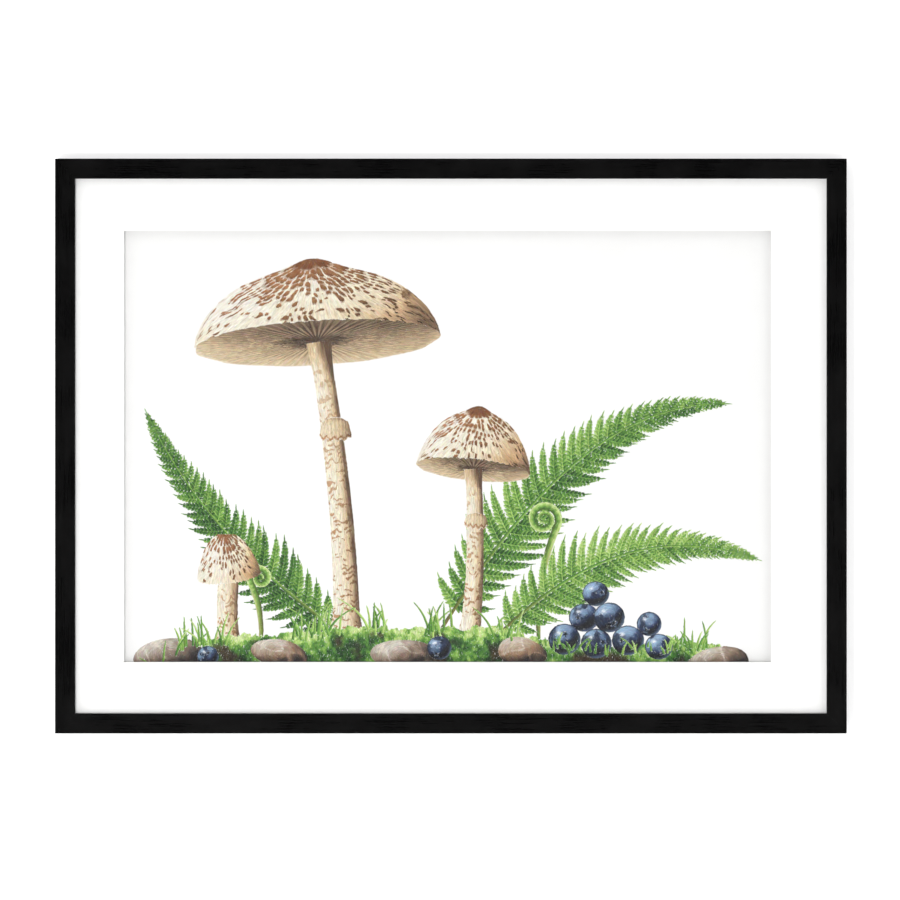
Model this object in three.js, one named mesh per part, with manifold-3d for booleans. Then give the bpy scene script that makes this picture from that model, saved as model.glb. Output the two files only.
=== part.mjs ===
// A framed picture that hangs on a wall: a black mitred box moulding, glass, a white bevelled window mat
// raised on hidden spacers, a print on its mount board, a fibreboard back held by driven points, two sawtooth
// hangers and two felt bumpers. Millimetres. +X is the viewer's right, +Y runs from the front into the wall
// and +Z is up. The origin is on the wall, midway between the two nails that the hangers sit on.

import * as THREE from "three";
import { mergeVertices } from "three/addons/utils/BufferGeometryUtils.js";
import Module from "manifold-3d";

const wasm = await Module();
wasm.setup();

// The window, where the print is seen through it, and the mat that shows round it
const WINDOW_WIDTH = 609.6;
const WINDOW_HEIGHT = 406.4;
const MAT_LEFT = 45.8;
const MAT_RIGHT = 51.8;
const MAT_TOP = 48.6;
const MAT_BOTTOM = 48.2;

// The moulding's section
const FACE_WIDTH = 19;
const RAIL_DEPTH = 30;
const LIP_THICKNESS = 3.5;
const REBATE_WIDTH = 6;
const EDGE_RADIUS = 0.8;
const EDGE_STEPS = 5;

// What lies in the rebate, from the front
const GLASS_THICKNESS = 2;
const MAT_THICKNESS = 2;
const SPACER_THICKNESS = 5;
const PRINT_THICKNESS = 0.5;
const MOUNT_BOARD_THICKNESS = 5;
const BACKING_THICKNESS = 3;
const EDGE_CLEARANCE = 1;
const SPACER_SETBACK = 9;
const GAP = 0.3;
const OVERCUT = 1;

// The driven points that hold the back
const POINT_WIDTH = 10;
const POINT_THICKNESS = 0.6;
const POINT_DRIVEN = 8;
const POINT_SHOWN = 14;
const POINTS_ON_LONG_RAIL = 5;
const POINTS_ON_SHORT_RAIL = 4;
const POINT_TIP_STEPS = 8;

// The wedges across each mitre
const WEDGE_LEG = 6;
const WEDGE_THICKNESS = 0.6;
const WEDGE_DEPTH = 7;
const WEDGE_HALF_ANGLE = THREE.MathUtils.degToRad(55);
const WEDGE_PLACES = [6, 13];

// The hangers, their nails and the bumpers
const STANDOFF = 3.5;
const HANGER_X = 220;
const HANGER_LENGTH = 46;
const HANGER_HEIGHT = 9;
const HANGER_FLAT = 9;
const HANGER_RAMP = 3;
const HANGER_THICKNESS = 1;
const HANGER_RISE = 1.9;
const TOOTH_PITCH = 3;
const TOOTH_DEPTH = 1.8;
const NOTCH_WIDTH = 2.4;
const TOOTH_COUNT = 7;
const NAIL_RADIUS = 0.9;
const NAIL_LENGTH = 12;
const NAIL_HEAD_RADIUS = 2;
const NAIL_HEAD_THICKNESS = 0.8;
const NAIL_CROWN_RADIUS = 1.2;
const NAIL_TIP = 2;
const ROUND_STEPS = 20;
const BUMPER_RADIUS = 5;
const BUMPER_FROM_CORNER = 20;
const BUMPER_EDGE = 0.7;

// Worked out from those
const SIGHT_WIDTH = WINDOW_WIDTH + MAT_LEFT + MAT_RIGHT;
const SIGHT_HEIGHT = WINDOW_HEIGHT + MAT_TOP + MAT_BOTTOM;
const OUTER_WIDTH = SIGHT_WIDTH + 2 * FACE_WIDTH;
const OUTER_HEIGHT = SIGHT_HEIGHT + 2 * FACE_WIDTH;
const REBATE_HALF_WIDTH = SIGHT_WIDTH / 2 + REBATE_WIDTH;
const REBATE_HALF_HEIGHT = SIGHT_HEIGHT / 2 + REBATE_WIDTH;
const SHEET_WIDTH = 2 * (REBATE_HALF_WIDTH - EDGE_CLEARANCE);
const SHEET_HEIGHT = 2 * (REBATE_HALF_HEIGHT - EDGE_CLEARANCE);
const WINDOW_X = (MAT_LEFT - MAT_RIGHT) / 2;
const WINDOW_Z = (MAT_BOTTOM - MAT_TOP) / 2;
const LEG_WIDTH = FACE_WIDTH - REBATE_WIDTH;
const FRONT_Y = -(STANDOFF + RAIL_DEPTH);
const BACK_Y = -STANDOFF;
const GLASS_Y = FRONT_Y + LIP_THICKNESS + GAP;
const MAT_Y = GLASS_Y + GLASS_THICKNESS + GAP;
const SPACER_Y = MAT_Y + MAT_THICKNESS + GAP;
const PRINT_Y = SPACER_Y + SPACER_THICKNESS + GAP;
const MOUNT_BOARD_Y = PRINT_Y + PRINT_THICKNESS + GAP;
const BACKING_Y = MOUNT_BOARD_Y + MOUNT_BOARD_THICKNESS + GAP;
const POINT_Y = BACKING_Y + BACKING_THICKNESS + GAP;
const MITRE_SETBACK = GAP / Math.SQRT2;
const HANGER_Z = OUTER_HEIGHT / 2 - LEG_WIDTH / 2;
const TOOTH_ROOT_Z = HANGER_Z - HANGER_HEIGHT / 2 + TOOTH_DEPTH;

// The four sides: how far each is turned about Y from the top one, its length and its distance out
const SIDES = [
  { name: "top", turn: 0, length: OUTER_WIDTH, out: OUTER_HEIGHT / 2 },
  { name: "right", turn: Math.PI / 2, length: OUTER_HEIGHT, out: OUTER_WIDTH / 2 },
  { name: "bottom", turn: Math.PI, length: OUTER_WIDTH, out: OUTER_HEIGHT / 2 },
  { name: "left", turn: -Math.PI / 2, length: OUTER_HEIGHT, out: OUTER_WIDTH / 2 },
];

const MATERIALS = {
  frame: new THREE.MeshStandardMaterial({ color: 0x0b0b0b, roughness: 0.45, metalness: 0 }),
  glass: new THREE.MeshStandardMaterial({
    color: 0xf2f7f5, roughness: 0.03, metalness: 0, transparent: true, opacity: 0.2,
  }),
  mat: new THREE.MeshStandardMaterial({ color: 0xfcfcfa, roughness: 0.9, metalness: 0 }),
  board: new THREE.MeshStandardMaterial({ color: 0xf0eee8, roughness: 0.9, metalness: 0 }),
  print: new THREE.MeshStandardMaterial({ color: 0xfbfbf9, roughness: 0.85, metalness: 0 }),
  backing: new THREE.MeshStandardMaterial({ color: 0x9a6f45, roughness: 0.8, metalness: 0 }),
  steel: new THREE.MeshStandardMaterial({ color: 0xa9adb2, roughness: 0.35, metalness: 1 }),
  brass: new THREE.MeshStandardMaterial({ color: 0xc9a256, roughness: 0.3, metalness: 1 }),
  felt: new THREE.MeshStandardMaterial({ color: 0x1c1c1e, roughness: 1, metalness: 0 }),
};

// A closed geometry as a solid that can be joined and cut
function solidOf(geometry, matrix = new THREE.Matrix4()) {
  const bare = geometry.clone().applyMatrix4(matrix);
  bare.deleteAttribute("normal");
  bare.deleteAttribute("uv");
  const merged = mergeVertices(bare, 1e-4);
  return new wasm.Manifold(
    new wasm.Mesh({
      numProp: 3,
      vertProperties: new Float32Array(merged.attributes.position.array),
      triVerts: new Uint32Array(merged.index.array),
    }),
  );
}

// A solid back as a geometry with flat shading
function geometryOf(solid) {
  const mesh = solid.getMesh();
  const geometry = new THREE.BufferGeometry();
  geometry.setAttribute("position", new THREE.BufferAttribute(mesh.vertProperties, 3));
  geometry.setIndex(new THREE.BufferAttribute(mesh.triVerts, 1));
  const flat = geometry.toNonIndexed();
  flat.computeVertexNormals();
  return flat;
}

function named(name, geometry, material) {
  const mesh = new THREE.Mesh(geometry, material);
  mesh.name = name;
  return mesh;
}

function turnedAboutY(angle, position) {
  return new THREE.Matrix4().makeRotationY(angle).setPosition(position);
}

// The moulding's section, with u inward from the outer edge and d back from the face
function railSection() {
  const shape = new THREE.Shape();
  shape.moveTo(0, EDGE_RADIUS);
  shape.absarc(EDGE_RADIUS, EDGE_RADIUS, EDGE_RADIUS, Math.PI, 1.5 * Math.PI, false);
  shape.lineTo(FACE_WIDTH - EDGE_RADIUS, 0);
  shape.absarc(FACE_WIDTH - EDGE_RADIUS, EDGE_RADIUS, EDGE_RADIUS, 1.5 * Math.PI, 2 * Math.PI, false);
  shape.lineTo(FACE_WIDTH, LIP_THICKNESS);
  shape.lineTo(LEG_WIDTH, LIP_THICKNESS);
  shape.lineTo(LEG_WIDTH, RAIL_DEPTH);
  shape.lineTo(0, RAIL_DEPTH);
  shape.closePath();
  return shape;
}

// One rail, swept straight and mitred by drawing its ends in as the section goes inward
function railGeometry(side) {
  const geometry = new THREE.ExtrudeGeometry(railSection(), {
    depth: 1,
    bevelEnabled: false,
    curveSegments: EDGE_STEPS,
  });
  const position = geometry.attributes.position;
  for (let i = 0; i < position.count; i += 1) {
    const inward = position.getX(i);
    const back = position.getY(i);
    const along = 2 * position.getZ(i) - 1;
    const halfLength = side.length / 2 - inward - MITRE_SETBACK;
    position.setXYZ(i, along * halfLength, FRONT_Y + back, side.out - inward);
  }
  return geometry.applyMatrix4(turnedAboutY(side.turn, new THREE.Vector3()));
}

// A driven point lying in the plane of the back: a pointed tail in the rail and a round tongue over the board
function pointGeometry(grow) {
  const half = POINT_WIDTH / 2 + grow;
  const shoulder = POINT_DRIVEN - POINT_WIDTH / 2;
  const shape = new THREE.Shape();
  shape.moveTo(-half, shoulder + grow);
  shape.lineTo(-half, -(POINT_SHOWN - POINT_WIDTH / 2));
  shape.absarc(0, -(POINT_SHOWN - POINT_WIDTH / 2), half, Math.PI, 2 * Math.PI, false);
  shape.lineTo(half, shoulder + grow);
  shape.lineTo(0, POINT_DRIVEN + grow);
  shape.closePath();
  const geometry = new THREE.ExtrudeGeometry(shape, {
    depth: POINT_THICKNESS + 2 * grow,
    bevelEnabled: false,
    curveSegments: POINT_TIP_STEPS,
  });
  return geometry.rotateX(Math.PI / 2).translate(0, POINT_THICKNESS + grow, 0);
}

// Where the points stand: evenly along each rail, on its inner wall
function pointPlaces() {
  return SIDES.flatMap((side) => {
    const count = side.length === OUTER_WIDTH ? POINTS_ON_LONG_RAIL : POINTS_ON_SHORT_RAIL;
    const inner = side.length - 2 * LEG_WIDTH;
    return Array.from({ length: count }, (_, i) => {
      const along = inner * ((i + 0.5) / count - 0.5);
      const place = new THREE.Vector3(along, POINT_Y, side.out - LEG_WIDTH);
      place.applyAxisAngle(new THREE.Vector3(0, 1, 0), side.turn);
      return { name: `point_${side.name}_${i + 1}`, turn: side.turn, place };
    });
  });
}

// A wedge of bent strip across a mitre, apex outward, seen along Y as a chevron on the line of the mitre
function wedgeGeometry(grow) {
  const along = Math.cos(WEDGE_HALF_ANGLE);
  const across = Math.sin(WEDGE_HALF_ANGLE);
  const half = WEDGE_THICKNESS / 2 + grow;
  const leg = WEDGE_LEG + grow;
  const outline = [
    [-half / across, 0],
    [leg * along - half * across, leg * across + half * along],
    [leg * along + half * across, leg * across - half * along],
    [half / across, 0],
    [leg * along + half * across, -leg * across + half * along],
    [leg * along - half * across, -leg * across - half * along],
  ];
  const shape = new THREE.Shape(outline.map(([a, b]) => new THREE.Vector2(a, b)));
  const geometry = new THREE.ExtrudeGeometry(shape, { depth: WEDGE_DEPTH + 2 * grow, bevelEnabled: false });
  return geometry.rotateX(Math.PI / 2).translate(0, grow, 0);
}

// Two wedges at each corner, with their apexes on the mitre at set distances in from the corner
function wedgePlaces() {
  const corners = [
    { name: "top_right", x: 1, z: 1 },
    { name: "bottom_right", x: 1, z: -1 },
    { name: "bottom_left", x: -1, z: -1 },
    { name: "top_left", x: -1, z: 1 },
  ];
  return corners.flatMap((corner) =>
    WEDGE_PLACES.map((inward, i) => {
      const reach = inward / Math.SQRT2;
      return {
        name: `wedge_${corner.name}_${i + 1}`,
        turn: Math.atan2(corner.z, -corner.x),
        place: new THREE.Vector3(
          corner.x * (OUTER_WIDTH / 2 - reach),
          BACK_Y,
          corner.z * (OUTER_HEIGHT / 2 - reach),
        ),
      };
    }),
  );
}

// A nail standing along Y, its head outward
function nailGeometry() {
  const profile = [
    [0, -NAIL_LENGTH],
    [NAIL_RADIUS, -NAIL_LENGTH + NAIL_TIP],
    [NAIL_RADIUS, 0],
    [NAIL_HEAD_RADIUS, 0],
    [NAIL_HEAD_RADIUS, NAIL_HEAD_THICKNESS / 2],
    [NAIL_CROWN_RADIUS, NAIL_HEAD_THICKNESS],
    [0, NAIL_HEAD_THICKNESS],
  ].map(([r, y]) => new THREE.Vector2(r, y));
  return new THREE.LatheGeometry(profile, ROUND_STEPS);
}

// The hole that a nail leaves in what it goes through
function nailHole() {
  const length = 2 * (NAIL_LENGTH + GAP);
  return new THREE.CylinderGeometry(NAIL_RADIUS + GAP, NAIL_RADIUS + GAP, length, ROUND_STEPS);
}

// The nails stand at both ends of each hanger
function nailPlaces() {
  const fromMiddle = (HANGER_LENGTH - HANGER_FLAT) / 2;
  return [-1, 1].flatMap((hand) =>
    [-1, 1].map((end) => ({
      name: `hanger_nail_${hand < 0 ? "left" : "right"}_${end < 0 ? 1 : 2}`,
      place: new THREE.Vector3(
        hand * HANGER_X + end * fromMiddle,
        BACK_Y + GAP + HANGER_THICKNESS + GAP,
        HANGER_Z,
      ),
    })),
  );
}

// A sawtooth hanger: a strip nailed at both ends, its middle bowed off the rail and toothed along its foot
function hangerGeometry() {
  const half = HANGER_LENGTH / 2;
  const knee = half - HANGER_FLAT;
  const raised = knee - HANGER_RAMP;
  const inner = [[-half, 0], [-knee, 0], [-raised, HANGER_RISE], [raised, HANGER_RISE], [knee, 0], [half, 0]];
  const outer = inner.map(([x, y]) => [x, y + HANGER_THICKNESS]).reverse();
  const shape = new THREE.Shape([...inner, ...outer].map(([x, y]) => new THREE.Vector2(x, y)));
  const strip = new THREE.ExtrudeGeometry(shape, { depth: HANGER_HEIGHT, bevelEnabled: false });
  let solid = solidOf(strip.translate(0, 0, -HANGER_HEIGHT / 2));
  for (let i = 0; i < TOOTH_COUNT; i += 1) {
    const x = (i - (TOOTH_COUNT - 1) / 2) * TOOTH_PITCH;
    const matrix = new THREE.Matrix4().makeTranslation(x, 0, -HANGER_HEIGHT / 2);
    solid = solid.subtract(solidOf(toothNotch(), matrix));
  }
  for (const end of [-1, 1]) {
    const matrix = new THREE.Matrix4().makeTranslation((end * (HANGER_LENGTH - HANGER_FLAT)) / 2, 0, 0);
    solid = solid.subtract(solidOf(nailHole(), matrix));
  }
  return geometryOf(solid);
}

// The notch between two teeth
function toothNotch() {
  const shape = new THREE.Shape();
  shape.moveTo(-NOTCH_WIDTH / 2, -OVERCUT);
  shape.lineTo(NOTCH_WIDTH / 2, -OVERCUT);
  shape.lineTo(NOTCH_WIDTH / 2, 0);
  shape.lineTo(0, TOOTH_DEPTH);
  shape.lineTo(-NOTCH_WIDTH / 2, 0);
  shape.closePath();
  const reach = 2 * STANDOFF;
  const geometry = new THREE.ExtrudeGeometry(shape, { depth: reach, bevelEnabled: false });
  return geometry.rotateX(Math.PI / 2).translate(0, reach - HANGER_THICKNESS, 0);
}

// A felt disc with an eased edge, its back on the wall
function bumperGeometry() {
  const thickness = STANDOFF - GAP;
  const profile = [
    [0, -thickness],
    [BUMPER_RADIUS, -thickness],
    [BUMPER_RADIUS, -BUMPER_EDGE],
    [BUMPER_RADIUS - BUMPER_EDGE, 0],
    [0, 0],
  ].map(([r, y]) => new THREE.Vector2(r, y));
  return new THREE.LatheGeometry(profile, ROUND_STEPS);
}

// A flat sheet that fills the rebate, its front at frontY
function sheetGeometry(frontY, thickness) {
  return new THREE.BoxGeometry(SHEET_WIDTH, thickness, SHEET_HEIGHT).translate(0, frontY + thickness / 2, 0);
}

// The window mat: a sheet with a hole whose bevel slopes in to the window's size at the back
function matGeometry() {
  const hole = new THREE.BoxGeometry(1, 1, 1);
  const position = hole.attributes.position;
  for (let i = 0; i < position.count; i += 1) {
    const depth = position.getY(i) > 0 ? MAT_THICKNESS + OVERCUT : -OVERCUT;
    const flare = 2 * (MAT_THICKNESS - depth);
    const x = WINDOW_X + position.getX(i) * (WINDOW_WIDTH + flare);
    const z = WINDOW_Z + position.getZ(i) * (WINDOW_HEIGHT + flare);
    position.setXYZ(i, x, MAT_Y + depth, z);
  }
  return geometryOf(solidOf(sheetGeometry(MAT_Y, MAT_THICKNESS)).subtract(solidOf(hole)));
}

// Four strips under the mat, set back from its window so that none of them shows
function spacers() {
  const left = WINDOW_X - WINDOW_WIDTH / 2 - SPACER_SETBACK;
  const right = WINDOW_X + WINDOW_WIDTH / 2 + SPACER_SETBACK;
  const low = WINDOW_Z - WINDOW_HEIGHT / 2 - SPACER_SETBACK;
  const high = WINDOW_Z + WINDOW_HEIGHT / 2 + SPACER_SETBACK;
  const edgeX = SHEET_WIDTH / 2;
  const edgeZ = SHEET_HEIGHT / 2;
  const strips = [
    { name: "spacer_top", x: [-edgeX, edgeX], z: [high, edgeZ] },
    { name: "spacer_bottom", x: [-edgeX, edgeX], z: [-edgeZ, low] },
    { name: "spacer_left", x: [-edgeX, left], z: [low + GAP, high - GAP] },
    { name: "spacer_right", x: [right, edgeX], z: [low + GAP, high - GAP] },
  ];
  return strips.map(({ name, x, z }) => {
    const box = new THREE.BoxGeometry(x[1] - x[0], SPACER_THICKNESS, z[1] - z[0]);
    const strip = named(name, box, MATERIALS.board);
    strip.position.set((x[0] + x[1]) / 2, SPACER_Y + SPACER_THICKNESS / 2, (z[0] + z[1]) / 2);
    return strip;
  });
}

// The rails, each cut clear of every point, wedge and nail that goes into it
function rails(points, wedges, nails) {
  const cutters = [
    ...points.map(({ turn, place }) => solidOf(pointGeometry(GAP), turnedAboutY(turn, place))),
    ...wedges.map(({ turn, place }) => solidOf(wedgeGeometry(GAP), turnedAboutY(turn, place))),
    ...nails.map(({ place }) => solidOf(nailHole(), turnedAboutY(0, place))),
  ];
  return SIDES.map((side) => {
    const whole = solidOf(railGeometry(side));
    const cut = cutters.reduce((left, cutter) => left.subtract(cutter), whole);
    return named(`rail_${side.name}`, geometryOf(cut), MATERIALS.frame);
  });
}

function framedPicture() {
  const points = pointPlaces();
  const wedges = wedgePlaces();
  const nails = nailPlaces();
  const frame = new THREE.Group();
  frame.add(...rails(points, wedges, nails));
  frame.add(named("glazing", sheetGeometry(GLASS_Y, GLASS_THICKNESS), MATERIALS.glass));
  frame.add(named("mat_board", matGeometry(), MATERIALS.mat));
  frame.add(...spacers());
  frame.add(named("print_sheet", sheetGeometry(PRINT_Y, PRINT_THICKNESS), MATERIALS.print));
  frame.add(named("mount_board", sheetGeometry(MOUNT_BOARD_Y, MOUNT_BOARD_THICKNESS), MATERIALS.board));
  frame.add(named("backing_board", sheetGeometry(BACKING_Y, BACKING_THICKNESS), MATERIALS.backing));
  for (const { name, turn, place } of points) {
    const point = named(name, pointGeometry(0), MATERIALS.steel);
    point.rotation.y = turn;
    point.position.copy(place);
    frame.add(point);
  }
  for (const { name, turn, place } of wedges) {
    const wedge = named(name, wedgeGeometry(0), MATERIALS.steel);
    wedge.rotation.y = turn;
    wedge.position.copy(place);
    frame.add(wedge);
  }
  for (const { name, place } of nails) {
    const nail = named(name, nailGeometry(), MATERIALS.steel);
    nail.position.copy(place);
    frame.add(nail);
  }
  for (const hand of [-1, 1]) {
    const side = hand < 0 ? "left" : "right";
    const hanger = named(`hanger_${side}`, hangerGeometry(), MATERIALS.brass);
    hanger.position.set(hand * HANGER_X, BACK_Y + GAP, HANGER_Z);
    const bumper = named(`bumper_${side}`, bumperGeometry(), MATERIALS.felt);
    bumper.position.set(
      hand * (OUTER_WIDTH / 2 - BUMPER_FROM_CORNER), 0, -OUTER_HEIGHT / 2 + LEG_WIDTH / 2,
    );
    frame.add(hanger, bumper);
  }
  return frame;
}

const part = new THREE.Group();
const picture = framedPicture();
picture.position.z = -TOOTH_ROOT_Z;
part.add(picture);

export default part;
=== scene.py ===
# A framed picture on a white wall: a black mitred frame, glass, a white bevelled mat and a still life in
# coloured pencil. The still life is laid out in code on a fine grid, as colours and the way the pencil
# runs, and is then drawn as flat tapered strokes that lie on the sheet. Scene sizes are in metres, and
# the drawing's are in millimetres on the sheet, from the middle of the mat's window.

from itertools import product
from math import cos, hypot, pi, sin, sqrt, tau

import bmesh
import bpy
import numpy as np
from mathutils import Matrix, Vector


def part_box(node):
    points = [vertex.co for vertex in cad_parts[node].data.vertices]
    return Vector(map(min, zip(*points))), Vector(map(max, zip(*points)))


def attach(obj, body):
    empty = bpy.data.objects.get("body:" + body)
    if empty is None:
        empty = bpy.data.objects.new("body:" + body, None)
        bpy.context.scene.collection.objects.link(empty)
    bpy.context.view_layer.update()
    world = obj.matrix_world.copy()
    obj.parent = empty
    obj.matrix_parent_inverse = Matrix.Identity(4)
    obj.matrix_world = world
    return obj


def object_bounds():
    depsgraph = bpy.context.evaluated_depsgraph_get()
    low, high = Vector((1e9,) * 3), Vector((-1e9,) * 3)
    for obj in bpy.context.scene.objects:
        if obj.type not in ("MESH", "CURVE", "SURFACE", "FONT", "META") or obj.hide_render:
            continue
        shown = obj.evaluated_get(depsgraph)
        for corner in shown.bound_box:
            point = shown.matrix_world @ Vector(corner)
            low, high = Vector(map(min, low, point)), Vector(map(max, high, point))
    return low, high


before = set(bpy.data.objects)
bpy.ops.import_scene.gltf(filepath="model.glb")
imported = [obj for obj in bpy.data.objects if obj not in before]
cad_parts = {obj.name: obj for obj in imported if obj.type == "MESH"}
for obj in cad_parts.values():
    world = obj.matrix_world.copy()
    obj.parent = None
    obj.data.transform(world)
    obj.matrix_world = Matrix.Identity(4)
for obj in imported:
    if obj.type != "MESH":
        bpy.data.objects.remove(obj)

cad_box = [list(corner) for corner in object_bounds()]
low, high = (Vector(corner) for corner in cad_box)
middle = (low + high) / 2

# The photograph's frame and where the picture's outer edges lie in it
PHOTO_PX = 900
EDGE_LEFT_PX = 54.1
EDGE_RIGHT_PX = 847.7
EDGE_TOP_PX = 159.1
EDGE_BOTTOM_PX = 733.0

# The camera, straight in front with a long lens
LENS_MM = 300
SENSOR_MM = 36
FARTHEST = 50

# The stage: a floor well below the picture, and a wall just behind it that glows a little
FLOOR_DROP = 1.1
STAGE_SIZE = 9.0
WALL_GAP = 0.0003
WALL_GLOW = 0.39

# The world gives an even soft light from all round, except from a dark patch behind the camera
AMBIENT = 1.5
BEHIND_CAMERA = 0.03
DARK_TO = 0.45
DARK_FROM = 0.85
BACKDROP = 1.0

# The key light, low at the left of the camera
KEY_ASIDE = -0.95
KEY_AWAY = -4.2
KEY_BELOW = 0.65
KEY_SIZE = 0.5
KEY_POWER = 86

MM = 0.001


def make_camera():
    """Stands the camera so that the picture's edges fall on the photograph's pixels."""
    across = (high.x - low.x) / (EDGE_RIGHT_PX - EDGE_LEFT_PX)
    upward = (high.z - low.z) / (EDGE_BOTTOM_PX - EDGE_TOP_PX)
    metres_a_pixel = (across + upward) / 2
    right = (EDGE_LEFT_PX + EDGE_RIGHT_PX - PHOTO_PX) / 2 * metres_a_pixel
    up = (PHOTO_PX - EDGE_TOP_PX - EDGE_BOTTOM_PX) / 2 * metres_a_pixel
    distance = PHOTO_PX * metres_a_pixel * LENS_MM / SENSOR_MM
    data = bpy.data.cameras.new("camera")
    data.lens = LENS_MM
    data.sensor_width = SENSOR_MM
    data.clip_end = FARTHEST
    camera = bpy.data.objects.new("camera", data)
    camera.location = (middle.x - right, low.y - distance, middle.z - up)
    camera.rotation_euler = (pi / 2, 0, 0)
    bpy.context.scene.collection.objects.link(camera)
    bpy.context.scene.camera = camera


make_camera()


# Materials

def set_inputs(node, values):
    for socket, value in values.items():
        node.inputs[socket.replace("_", " ")].default_value = value


class Finish:
    """A Principled material whose colour, roughness and relief come from noise in the object's space."""

    def __init__(self, name, colour=(0.8, 0.8, 0.8), **values):
        self.material = bpy.data.materials.new(name)
        self.material.use_nodes = True
        self.tree = self.material.node_tree
        self.shader = self.tree.nodes["Principled BSDF"]
        set_inputs(self.shader, {"Base Color": (*colour, 1), **values})
        self.place = self.node("TexCoord").outputs["Object"]

    def node(self, kind, **values):
        made = self.tree.nodes.new("ShaderNode" + kind)
        set_inputs(made, values)
        return made

    def link(self, output, target):
        self.tree.links.new(output, target)

    def noise(self, size, stretch=(1, 1, 1), detail=4.0, rough=0.55, twist=0.0):
        """Noise with lumps of about size metres, longer along each axis by stretch."""
        mapping = self.node("Mapping", Scale=tuple(1 / (size * s) for s in stretch))
        self.link(self.place, mapping.inputs["Vector"])
        texture = self.node("TexNoise", Scale=1.0, Detail=detail, Roughness=rough, Distortion=twist)
        self.link(mapping.outputs["Vector"], texture.inputs["Vector"])
        return texture.outputs["Fac"]

    def spread(self, field, least, most, out_least=0.0, out_most=1.0):
        """Takes a field's range from least to most to another one."""
        made = self.node("MapRange", From_Min=least, From_Max=most, To_Min=out_least, To_Max=out_most)
        self.link(field, made.inputs["Value"])
        return made.outputs["Result"]

    def maths(self, operation, a, b):
        made = self.node("Math")
        made.operation = operation
        for socket, value in zip(made.inputs, (a, b)):
            if isinstance(value, (int, float)):
                socket.default_value = value
            else:
                self.link(value, socket)
        return made.outputs[0]

    def mixed(self, field, a, b):
        """A colour that goes from a to b, each a colour or another node's output."""
        made = self.node("Mix")
        made.data_type = "RGBA"
        self.link(field, made.inputs["Factor"])
        for name, value in (("A", a), ("B", b)):
            socket = [s for s in made.inputs if s.name == name and s.type == "RGBA"][0]
            if isinstance(value, tuple):
                socket.default_value = (*value, 1)
            else:
                self.link(value, socket)
        return [s for s in made.outputs if s.type == "RGBA"][0]

    def colour(self, field, a, b):
        self.link(self.mixed(field, a, b), self.shader.inputs["Base Color"])

    def rough(self, field, *limits):
        self.link(self.spread(field, *limits), self.shader.inputs["Roughness"])

    def relief(self, field, height):
        """Raises the surface by up to height metres, over any relief that is there."""
        bump = self.node("Bump", Strength=1.0, Distance=height)
        self.link(field, bump.inputs["Height"])
        normal = self.shader.inputs["Normal"]
        if normal.is_linked:
            self.link(normal.links[0].from_socket, bump.inputs["Normal"])
        self.link(bump.outputs["Normal"], normal)


def painted_wood(name, stretch=(1, 1, 1)):
    """Satin black paint with the grain just telegraphing through it."""
    finish = Finish(name, Specular_IOR_Level=0.15)
    grain = finish.noise(0.0011, stretch, detail=5, rough=0.6, twist=0.2)
    orange_peel = finish.noise(0.0016, detail=2)
    patches = finish.noise(0.05, detail=3)
    finish.colour(patches, (0.0012, 0.0012, 0.0013), (0.0024, 0.0023, 0.0023))
    finish.rough(finish.maths("ADD", grain, patches), 0.8, 1.2, 0.24, 0.44)
    finish.relief(grain, 0.00012)
    finish.relief(orange_peel, 0.00002)
    return finish.material


def mat_board():
    """White mat board with a fine tooth, and a smoother, whiter core where the bevel cuts it."""
    finish = Finish("mat_board_white", Roughness=0.92, Specular_IOR_Level=0.25)
    tooth = finish.noise(0.00045, detail=3, rough=0.6)
    cloud = finish.noise(0.02, detail=4)
    fibres = finish.noise(0.0006, (6, 1, 1), detail=3, twist=1.2)
    normal = finish.node("NewGeometry").outputs["Normal"]
    facing = finish.node("SeparateXYZ")
    finish.link(normal, facing.inputs["Vector"])
    cut = finish.spread(finish.maths("ABSOLUTE", facing.outputs["Y"], 0), 0.9, 0.8)
    field = finish.maths("ADD", finish.maths("MULTIPLY", cloud, 0.6), finish.maths("MULTIPLY", fibres, 0.4))
    face = finish.mixed(field, (0.925, 0.923, 0.915), (0.965, 0.963, 0.957))
    finish.colour(cut, face, (0.97, 0.968, 0.955))
    finish.relief(tooth, 0.00005)
    return finish.material


def cotton_paper():
    """The sheet that the drawing is on: matt, very slightly warm, with a soft tooth."""
    finish = Finish("cotton_paper", Roughness=0.9, Specular_IOR_Level=0.25)
    tooth = finish.noise(0.0007, detail=4, rough=0.65)
    cloud = finish.noise(0.03, detail=3)
    finish.colour(cloud, (0.835, 0.833, 0.825), (0.865, 0.863, 0.857))
    finish.relief(tooth, 0.00006)
    return finish.material


def pencil():
    """Each stroke's own colour, broken by the paper's tooth, with a slight waxy shine."""
    finish = Finish("coloured_pencil", Specular_IOR_Level=0.35)
    own = finish.node("Attribute")
    own.attribute_name = "pencil_colour"
    tooth = finish.noise(0.00042, detail=3, rough=0.6)
    bare = finish.spread(tooth, 0.5, 0.74, 0.0, 0.16)
    finish.colour(bare, own.outputs["Color"], (0.94, 0.935, 0.92))
    finish.rough(tooth, 0.3, 0.7, 0.62, 0.85)
    finish.relief(tooth, 0.00004)
    return finish.material


def foam_board():
    finish = Finish("foam_board", Roughness=0.85)
    finish.colour(finish.noise(0.004, detail=4), (0.84, 0.83, 0.8), (0.9, 0.89, 0.87))
    finish.relief(finish.noise(0.0008), 0.00004)
    return finish.material


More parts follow.
